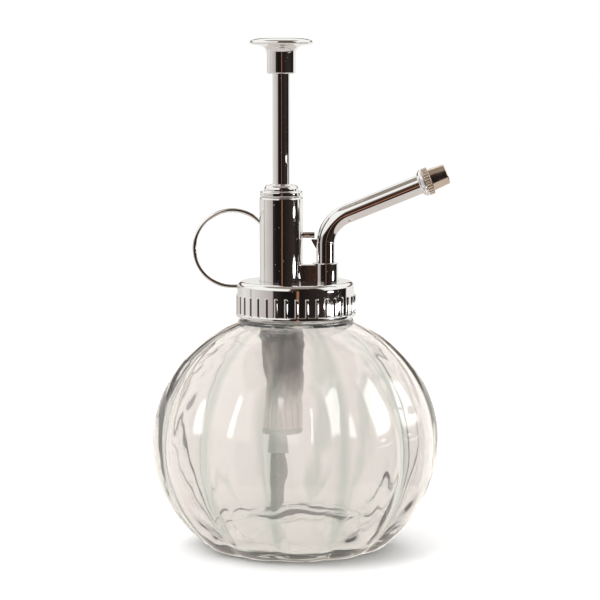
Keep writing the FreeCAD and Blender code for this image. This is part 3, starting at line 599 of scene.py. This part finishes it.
def make_cap():
    """The cap as one skin from its top, down the ribbed wall and up inside over the thread."""
    wall, rib, bore, ribs = 18.4, 18.8, 16.6, 36
    lip_top, rib_top, plate = 74.0, 79.9, 82.3
    rib_half, first_rib = 0.5, math.radians(0.7)
    columns = ribs * 20
    rounding = 1.6

    def ribbed(height):
        end = min(max((rib_top - height) / rib_half, 0), 1)
        half = rib_half * math.sqrt(max(1 - (1 - end) ** 2, 0)) + 0.02

        def reach(angle):
            step = 2 * math.pi / ribs
            off = abs((angle - first_rib + step / 2) % step - step / 2) * wall
            rise = 1 - (off / half) ** 2
            return wall + (rib - wall) * max(rise, 0) ** 0.5 * min(end * 1.6, 1)

        return reach

    def threaded(height):
        lag = CAP_THREAD_START - (NECK_THREAD_START - THREAD_PITCH / 2)
        turn = 2 * math.pi * lag / THREAD_PITCH

        def reach(angle):
            angle = (angle - turn) % (2 * math.pi)
            return bore - thread_height(angle, height, CAP_THREAD_START,
                                        depth=1.2, root_width=1.6, crest_width=0.7)

        return reach

    rings = [[(0, 0, CAP.top)]]
    for reach in (4, 9, 13, 15.8):
        rings.append(ring_at(reach, CAP.top, columns=columns))
    for step in range(9):
        angle = math.pi / 2 * step / 8
        reach = wall - rounding * (1 - math.sin(angle))
        rings.append(ring_at(reach, CAP.top - rounding * (1 - math.cos(angle)), columns=columns))
    for step in range(1, 4):
        height = CAP.top - rounding + (rib_top + 0.05 - CAP.top + rounding) * step / 3
        rings.append(ring_at(wall, height, columns=columns))
    for step in range(9):
        height = rib_top - rib_half * (1 - math.cos(math.pi / 2 * step / 8))
        rings.append(ring_at(ribbed(height), height, columns=columns))
    for step in range(1, 6):
        height = rib_top - rib_half + (lip_top + 0.15 - rib_top + rib_half) * step / 5
        rings.append(ring_at(ribbed(height), height, columns=columns))
    lip = CAP.radius
    low_corner = [(wall + 0.12, lip_top + 0.05), (lip - 0.25, lip_top), (lip - 0.08, lip_top - 0.08),
                  (lip, lip_top - 0.28), (lip, CAP.bottom + 0.28), (lip - 0.08, CAP.bottom + 0.08),
                  (lip - 0.28, CAP.bottom), (bore + 0.2, CAP.bottom), (bore, CAP.bottom + 0.2)]
    rings += [ring_at(reach, height, columns=columns) for reach, height in low_corner]
    thread_rows = 36
    for step in range(1, thread_rows + 1):
        height = CAP.bottom + 0.2 + (plate - CAP.bottom - 0.4) * step / thread_rows
        rings.append(ring_at(threaded(height), height, columns=columns))
    rings += [ring_at(bore - 0.2, plate, columns=columns), [(0, 0, plate)]]
    cap = skin("cap_shell", rings, sharp=40)

    tall = (plate - 1, CAP.top + 1)
    cutters = []
    for name, middle, reach in (("barrel", AXIS, BARREL_RADIUS), ("socket", SPOUT_X, SOCKET_RADIUS)):
        outline = [(0, tall[0]), (reach + 0.1, tall[0]), (reach + 0.1, tall[1]), (0, tall[1])]
        cutters.append(lathe(f"{name}_cutter", outline, middle, edge=0))
    half = BRIDGE_WIDTH / 2 + 0.1
    cutters.append(block("slot_cutter", (AXIS, -half, tall[0]), (SPOUT_X, half, tall[1])))
    wire_height = RING.bottom + WIRE_RADIUS
    cutters.append(capped(rod_along_x("wire_cutter", -CAP.radius - 1, RING.right, wire_height,
                                      WIRE_RADIUS, edge=0.01)))
    settle(combined(cap, cutters, "DIFFERENCE"), "head", "chrome", "screw_cap")


# ---------------------------------------------------------------- pump body and plunger

def make_pump_body():
    """Barrel, flange, bridge, spout socket and stud joined into one moulding, then bored out."""
    flange_low, flange_high = 81.32, 82.3
    bridge_top, socket_top, socket_floor = 89.0, 89.5, 85.8
    stud_height, stud_radius, stud_end = 98.1, 1.05, 5.9
    body = lathe("pump_body_shell", [
        (0, BODY.bottom), (BARREL_RADIUS, BODY.bottom), (BARREL_RADIUS, BODY.top - 0.7, 0.7),
        (BARREL_RADIUS - 0.7, BODY.top), (0, BODY.top),
    ])
    flange = lathe("flange", [(0, flange_low), (BODY.radius, flange_low), (BODY.radius, flange_high),
                              (0, flange_high)], 0)
    bridge = block("bridge", (AXIS, -BRIDGE_WIDTH / 2, flange_high - 0.2),
                   (SPOUT_X, BRIDGE_WIDTH / 2, bridge_top), 0.4)
    socket = lathe("socket", [
        (0, flange_high - 0.3), (SOCKET_RADIUS, flange_high - 0.3), (SOCKET_RADIUS, socket_top - 0.3, 0.3),
        (SOCKET_RADIUS - 0.3, socket_top), (0, socket_top),
    ], SPOUT_X)
    stud = capped(rod_along_x("stud", AXIS + BARREL_BORE + 0.4, stud_end, stud_height, stud_radius))
    combined(body, [flange, bridge, socket, stud], "UNION")
    bore = lathe("bore", [(0, BODY.bottom - 1), (BARREL_BORE, BODY.bottom - 1), (BARREL_BORE, BODY.top + 1),
                          (0, BODY.top + 1)], edge=0)
    seat = lathe("seat", [
        (0, 82.7), (0.6, 82.7), (0.6, 83.2), (1.5, 84.1), (1.5, socket_floor), (SOCKET_BORE, socket_floor),
        (SOCKET_BORE, socket_top + 1), (0, socket_top + 1),
    ], SPOUT_X, edge=0)
    duct = capped(rod_along_x("duct", AXIS + BARREL_BORE - 0.3, SPOUT_X + 0.3, 82.75, 0.65, edge=0.01))
    settle(combined(body, [bore, seat, duct], "DIFFERENCE"), "head", "chrome", "pump_body")


def make_gland_nut():
    flange, dome, lip = GLAND.radius, 5.45, 3.5
    flange_top, dome_start, rounding = 111.9, 112.3, 1.45
    nut = lathe("gland_nut_polished", [
        (4.9, GLAND.bottom),
        (BARREL_BORE, GLAND.bottom),
        (BARREL_BORE, BODY.top),
        (flange - 0.6, BODY.top, 0.6),
        (flange, BODY.top + 0.6),
        (flange, flange_top - 0.6, 0.6),
        (flange - 0.6, flange_top),
        (dome, flange_top),
        (dome, dome_start, rounding),
        (dome - rounding, dome_start + rounding),
        (lip, dome_start + rounding),
        (lip - 0.2, GLAND.top),
        (2.75, GLAND.top),
        (2.75, 106.4),
        (4.9, 106.4),
    ], closed=True, edge=0.1)
    settle(nut, "head", "chrome", "gland_nut")


def make_knob():
    """The thumb knob: a flat crown, a rolled rim and a hollow throat above a sleeve."""
    rim_low, rim_high, edge_height, throat_height = 157.2, 157.5, 158.36, 156.7
    sleeve, sleeve_top, seat = 4.45, 154.2, 155.5
    button = lathe("thumb_knob", [
        (0, seat),
        (ROD.radius, seat),
        (ROD.radius, KNOB.bottom),
        (sleeve - 0.3, KNOB.bottom),
        (sleeve, KNOB.bottom + 0.3),
        (sleeve, sleeve_top, -(throat_height - sleeve_top + 0.05)),
        (6.5, throat_height),
        (KNOB.radius - 0.2, rim_low),
        (KNOB.radius, rim_high, 0.93),
        (KNOB.radius - 0.59, edge_height, 9.4),
        (5.85, KNOB.top),
        (0, KNOB.top),
    ], columns=256)
    settle(button, "plunger", "chrome", "knob")


def make_rod():
    tail = 1.8
    rod = lathe("plunger_rod_polished", [
        (0, ROD.bottom), (tail, ROD.bottom), (tail, PISTON.top), (ROD.radius, PISTON.top),
        (ROD.radius, ROD.top), (0, ROD.top),
    ], edge=0.2)
    settle(rod, "plunger", "chrome", "plunger_rod")


def make_spring():
    """The return spring, closed by one turn at each end."""
    turns, steps = 14, 24
    wire = 0.35
    coil = SPRING.depth / 2 - wire
    low, high = SPRING.bottom + wire, SPRING.top - wire
    closed_rise = 2.05 * wire
    open_rise = (high - low - 2 * closed_rise) / (turns - 2)

    def spot(turn):
        if turn < 1:
            height = low + closed_rise * turn
        elif turn > turns - 1:
            height = high - closed_rise * (turns - turn)
        else:
            height = low + closed_rise + open_rise * (turn - 1)
        angle = 2 * math.pi * turn
        return Vector((AXIS + coil * math.cos(angle), coil * math.sin(angle), height))

    stations = []
    for index in range(turns * steps + 1):
        turn = index / steps
        ahead, behind = min(turn + 0.01, turns), max(turn - 0.01, 0)
        stations.append((spot(turn), spot(ahead) - spot(behind), wire))
    spring = sweep("return_spring_coil", stations, columns=12, rounded_ends=True)
    settle(spring, "head", "spring_steel", "return_spring")
    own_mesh(spring)


def make_finger_ring():
    """A wire loop from the cap's rim round to the barrel's side."""
    ring = (RING.top - RING.bottom) / 2 - WIRE_RADIUS
    height = (RING.top + RING.bottom) / 2
    middle = RING.left + WIRE_RADIUS + ring
    stations = [(Vector((RING.right, 0, height - ring)), Vector((-1, 0, 0)), WIRE_RADIUS)]
    last_angle = math.radians(-270 - 47.5)
    count = 120
    for step in range(count + 1):
        angle = math.radians(-90) + (last_angle + math.radians(90)) * step / count
        out = Vector((math.cos(angle), 0, math.sin(angle)))
        heading = Vector((math.sin(angle), 0, -math.cos(angle)))
        stations.append((Vector((middle, 0, height)) + out * ring, heading, WIRE_RADIUS))
    wire = sweep("finger_ring_wire", stations, columns=28, rounded_ends=True)
    settle(wire, "head", "chrome", "finger_ring")


# ---------------------------------------------------------------- spout and nozzle


def make_spout():
    """A bent tube with a lock fin at its back, a flare at its end and a spigot beyond the flare."""
    bend_radius, bore = 10.3, 0.9
    tangent = bend_radius * math.tan(BEND / 2)
    groove_low, groove_high, groove = 87.6, 88.7, 2.03
    up = Vector((0, 0, 1))
    spine = []

    def upright(height, radius):
        spine.append((Vector((SPOUT_X, 0, height)), up, radius))

    def slanted(distance, radius):
        spine.append((CORNER + ALONG * distance, ALONG, radius))

    def bent(steps, radius):
        centre = Vector((SPOUT_X + bend_radius, 0, CORNER.z - tangent))
        for step in steps:
            angle = BEND * step / 32
            place = centre + Vector((-math.cos(angle), 0, math.sin(angle))) * bend_radius
            spine.append((place, Vector((math.sin(angle), 0, math.cos(angle))), radius))

    for height, radius in ((SPOUT.bottom, SPOUT_RADIUS - 0.2), (SPOUT.bottom + 0.2, SPOUT_RADIUS),
                           (groove_low, SPOUT_RADIUS), (groove_low, groove),
                           (groove_high, groove), (groove_high, SPOUT_RADIUS),
                           (90.0, SPOUT_RADIUS), (CORNER.z - tangent, SPOUT_RADIUS)):
        upright(height, radius)
    bent(range(1, 33), SPOUT_RADIUS)
    flare = softened(with_arcs([
        (31.3, SPOUT_RADIUS, -4.0), (32.9, 4.35), (33.1, 4.25), (33.1, SPIGOT_RADIUS), (34.6, SPIGOT_RADIUS),
        (34.6, 1.9), (35.4, 1.9), (35.4, SPIGOT_RADIUS), (SPIGOT_END, SPIGOT_RADIUS), (SPIGOT_END, 1.3),
        (34.4, 1.3), (34.4, bore),
    ]), 0.08)
    slanted(15.0, SPOUT_RADIUS)
    for point in flare:
        slanted(point.x, point.y)
    slanted(tangent, bore)
    bent(range(31, -1, -1), bore)
    upright(SPOUT.bottom, bore)
    tube = sweep("spout_bent_tube", spine, columns=96, loop=True)
    shade(tube.data, 35)

    reach, fin_top, fin_low, half = 4.45, 96.8, 93.8, 0.5
    outline = [(-reach, fin_top), (-reach, fin_top - 0.4), (-SPOUT_RADIUS, fin_low),
               (-SPOUT_RADIUS / 2, fin_low), (-SPOUT_RADIUS / 2, fin_top)]
    outline = softened([Vector(corner) for corner in outline], 0.1, closed=True)
    rings = []
    for inset, side in ((0.08, -half), (0, 0.08 - half), (0, half - 0.08), (0.08, half)):
        middle = sum(outline, Vector((0, 0))) / len(outline)
        ring = []
        for point in outline:
            drawn_in = point + (middle - point).normalized() * inset
            ring.append((SPOUT_X + drawn_in.x, side, drawn_in.y))
        rings.append(ring)
    fin = capped(skin("fin", rings))
    settle(combined(tube, [fin], "UNION"), "spout", "chrome", "spout_tube")


def make_nozzle_cap():
    """The adjustable nozzle: a knurled ring, a tapered body and a dished orifice."""
    start, knurl_end, end = 33.3, 35.2, 40.6
    knurl, depth, teeth = 4.35, 0.35, 24
    body, tip, bore, bore_end = 3.52, 3.17, 2.58, 38.2
    outline = softened(with_arcs([
        (bore, start), (knurl - 0.2, start), (knurl, start + 0.2), (knurl, knurl_end - 0.2),
        (knurl - 0.2, knurl_end), (body, knurl_end), (tip, end - 0.25), (tip - 0.25, end), (1.3, end),
        (0.3, end - 1), (0.3, bore_end + 0.7), (0.9, bore_end + 0.7), (0.9, bore_end), (bore, bore_end),
    ], closed=True), 0.12, closed=True)
    across = Vector((0, 1, 0))
    upwards = ALONG.cross(across).normalized()
    columns = teeth * 12
    rings = []
    for point in outline:
        ring = []
        for column in range(columns):
            angle = 2 * math.pi * column / columns
            tooth = abs(angle * teeth / (2 * math.pi) % 1 - 0.5) * 2
            knurled = knurl - depth * (1 - math.sqrt(max(1 - tooth**2, 0)))
            reach = min(point.x, knurled)
            out = across * math.cos(angle) + upwards * math.sin(angle)
            ring.append(CORNER + ALONG * point.y + out * reach)
        rings.append(ring)
    cap = skin("nozzle_cap_knurled", rings, loop=True, sharp=40)
    settle(cap, "nozzle", "nickel", "nozzle_cap")


# ---------------------------------------------------------------- carried-over CAD pieces


def dress_cad_nodes():
    """The hidden pieces keep their CAD shape and take the material of their slot."""
    finishes = {
        "neck_gasket": "gasket_rubber",
        "pump_cylinder": "pump_plastic",
        "rod_seal": "seal_rubber",
        "piston": "pump_plastic",
        "piston_seal": "seal_rubber",
        "foot_valve": "pump_plastic",
        "inlet_ball_cage": "pump_plastic",
        "dip_tube": "tube_plastic",
        "inlet_ball": "ball_steel",
        "outlet_ball": "ball_steel",
        "spout_seal_ring": "seal_rubber",
        "nozzle_seal_ring": "seal_rubber",
        "nozzle_core": "pump_plastic",
    }
    for name, finish in finishes.items():
        for material_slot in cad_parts[name].material_slots:
            material_slot.material = MATERIALS[finish]


# ---------------------------------------------------------------- studio


def make_floor():
    """A plain pale floor, wide enough to have no edge in view."""
    material, tree, shader = new_material("studio_floor")
    paper = noise(tree, 30.0)
    tree.links.new(colours(tree, paper, [(0.3, (0.93, 0.93, 0.93)), (0.7, (0.95, 0.95, 0.95))]),
                   shader.inputs["Base Color"])
    shader.inputs["Roughness"].default_value = 0.9
    shader.inputs["Specular IOR Level"].default_value = 0.1
    far = 4000
    rings = [[(0, 0, 0)]] + [ring_at(reach, 0, columns=64) for reach in (300, far)]
    floor = skin("studio_floor", rings)
    floor.data.materials.append(material)
    floor.visible_glossy = False
    floor.visible_transmission = False


def srgb(*levels):
    """Linear colour of 0-255 display levels."""
    return tuple((level / 255 / 12.92) if level <= 10 else ((level / 255 + 0.055) / 1.055) ** 2.4
                 for level in levels)


def make_world():
    """The studio round the object. What mirrors see is a pale table below, a dark room to the front and
    right with pale walls to the left and behind, a bright diffuser above and a dim ceiling over it.
    What glass mirrors is brighter and holds three lamps, and what is seen through glass is nearly plain."""
    world = bpy.data.worlds.new("studio")
    world.use_nodes = True
    bpy.context.scene.world = world
    tree = world.node_tree
    coordinates = tree.nodes.new("ShaderNodeTexCoord")
    parts = tree.nodes.new("ShaderNodeSeparateXYZ")
    tree.links.new(coordinates.outputs["Generated"], parts.inputs["Vector"])
    backwards = math_node(tree, "MULTIPLY", parts.outputs["Y"], -1.0)
    azimuth = math_node(tree, "ARCTAN2", parts.outputs["X"], backwards)
    round_share = math_node(tree, "MULTIPLY_ADD", azimuth, 1 / (2 * math.pi), 0.5)
    elevation = math_node(tree, "ARCSINE", parts.outputs["Z"])

    def place(degrees):
        return 0.5 + degrees / 360

    table, diffuser, ceiling = srgb(212, 204, 198), srgb(252, 251, 248), srgb(150, 141, 131)
    dark, darkest, warm, black = srgb(52, 44, 40), srgb(26, 24, 23), srgb(158, 108, 84), (0, 0, 0)
    walls = colours(tree, round_share, [
        (place(-180), srgb(238, 236, 232)), (place(-140), srgb(214, 211, 207)),
        (place(-122), srgb(232, 229, 225)), (place(-101), srgb(222, 218, 214)),
        (place(-98), srgb(158, 152, 146)), (place(-95), srgb(220, 216, 212)),
        (place(-60), srgb(193, 186, 183)), (place(-46), srgb(182, 173, 171)),
        (place(-44), dark), (place(-25), darkest), (place(1), darkest), (place(2), warm),
        (place(6), warm), (place(7), darkest), (place(60), dark), (place(114), darkest),
        (place(118), srgb(250, 248, 244)), (place(180), srgb(238, 236, 232)),
    ])

    def above(degrees, softness):
        low, high = (math.radians(degrees + side * softness) for side in (-1, 1))
        return spread(tree, elevation, 0.0, 1.0, low, high)

    studio = blended(tree, above(-29, 1.5), table, walls)
    overhead = colours(tree, round_share, [
        (place(-16), diffuser), (place(-10), srgb(84, 62, 52)), (place(8), darkest), (place(54), dark),
        (place(62), diffuser),
    ])
    studio = blended(tree, above(8, 2.0), studio, overhead)
    studio = blended(tree, above(56, 2.5), studio, ceiling)
    off_front = math_node(tree, "ABSOLUTE", azimuth)
    behind = spread(tree, off_front, 0.0, 1.0, math.radians(120), math.radians(128))
    beam = math_node(tree, "MULTIPLY", above(9.5, 0.6), math_node(tree, "SUBTRACT", 1.0, above(18.0, 1.0)))
    studio = blended(tree, math_node(tree, "MULTIPLY", beam, behind), studio, srgb(96, 76, 66))

    path = tree.nodes.new("ShaderNodeLightPath")
    soft_light = (1.10, 1.09, 1.08)
    paler = blended(tree, 0.85, studio, srgb(241, 231, 225))
    boxes = colours(tree, round_share, [
        (place(-66), black), (place(-63), (1, 1, 1)), (place(-54), (1, 1, 1)), (place(-51), black),
        (place(14), black), (place(16), (1, 1, 1)), (place(21), (1, 1, 1)), (place(23), black),
        (place(58), black), (place(62), (1, 1, 1)), (place(100), (1, 1, 1)), (place(106), black),
    ])
    height = math_node(tree, "MULTIPLY", above(10, 1.5), math_node(tree, "SUBTRACT", 1.0, above(44, 1.5)))
    lamps = tree.nodes.new("ShaderNodeVectorMath")
    lamps.operation = "SCALE"
    tree.links.new(boxes, lamps.inputs[0])
    tree.links.new(math_node(tree, "MULTIPLY", height, 7.0), lamps.inputs["Scale"])
    lit = tree.nodes.new("ShaderNodeVectorMath")
    lit.operation = "MULTIPLY_ADD"
    tree.links.new(studio, lit.inputs[0])
    lit.inputs[1].default_value = (1.8, 1.75, 1.7)
    tree.links.new(lamps.outputs["Vector"], lit.inputs[2])
    mirrored = blended(tree, path.outputs["Is Singular Ray"], studio, lit.outputs["Vector"])
    # A smooth ray is both a reflection and a transmission ray, so the order of these steps matters.
    light = blended(tree, path.outputs["Is Reflection Ray"], soft_light, mirrored)
    light = blended(tree, path.outputs["Is Transmission Ray"], light, paler)
    light = blended(tree, path.outputs["Is Diffuse Ray"], light, soft_light)
    light = blended(tree, path.outputs["Is Camera Ray"], light, (1.0, 1.0, 1.0))
    background = tree.nodes["Background"]
    tree.links.new(light, background.inputs["Color"])
    background.inputs["Strength"].default_value = 1.0


def aim(item, target):
    item.rotation_euler = (Vector(target) - item.location).to_track_quat("-Z", "Y").to_euler()


def make_light(name, location, target, size, power, in_mirrors=False):
    lamp = bpy.data.lights.new(name, "AREA")
    lamp.shape = "ELLIPSE" if in_mirrors else "RECTANGLE"
    lamp.size, lamp.size_y = size
    lamp.energy = power
    item = bpy.data.objects.new(name, lamp)
    item.location = location
    bpy.context.scene.collection.objects.link(item)
    aim(item, target)
    item.visible_camera = False
    item.visible_glossy = in_mirrors
    item.visible_transmission = False


def make_camera():
    """Level with the knob, 0.7 m in front, looking 6.3 degrees down."""
    lens = bpy.data.cameras.new("camera")
    lens.sensor_width = 36
    lens.lens = 135.3
    camera = bpy.data.objects.new("camera", lens)
    camera.location = (0.0013, -0.700, 0.155)
    camera.rotation_euler = (math.radians(90 - 6.3), 0, 0)
    bpy.context.scene.collection.objects.link(camera)
    bpy.context.scene.camera = camera


MATERIALS = make_materials()
make_bottle()
make_cap()
make_pump_body()
make_gland_nut()
make_knob()
make_rod()
make_spring()
make_finger_ring()
make_spout()
make_nozzle_cap()
dress_cad_nodes()
make_floor()
make_world()
make_light("key", (-0.6, -0.5, 1.0), (0, 0, 0.08), (0.8, 0.8), 9)
make_light("back", (0.3, 0.8, 0.9), (0, 0, 0.08), (1.0, 0.6), 6)
make_light("low_glint", (0.277, -0.103, 0.063), (AXIS * MM, 0, 0.088), (0.075, 0.013), 0.011,
           in_mirrors=True)
make_light("high_glint", (0.277, -0.103, 0.097), (AXIS * MM, 0, 0.106), (0.060, 0.006), 0.004,
           in_mirrors=True)
make_light("cap_glint", (0.291, -0.073, 0.043), (0, 0, 0.077), (0.24, 0.0045), 0.009, in_mirrors=True)
make_camera()
bpy.context.scene.view_settings.view_transform = "Standard"
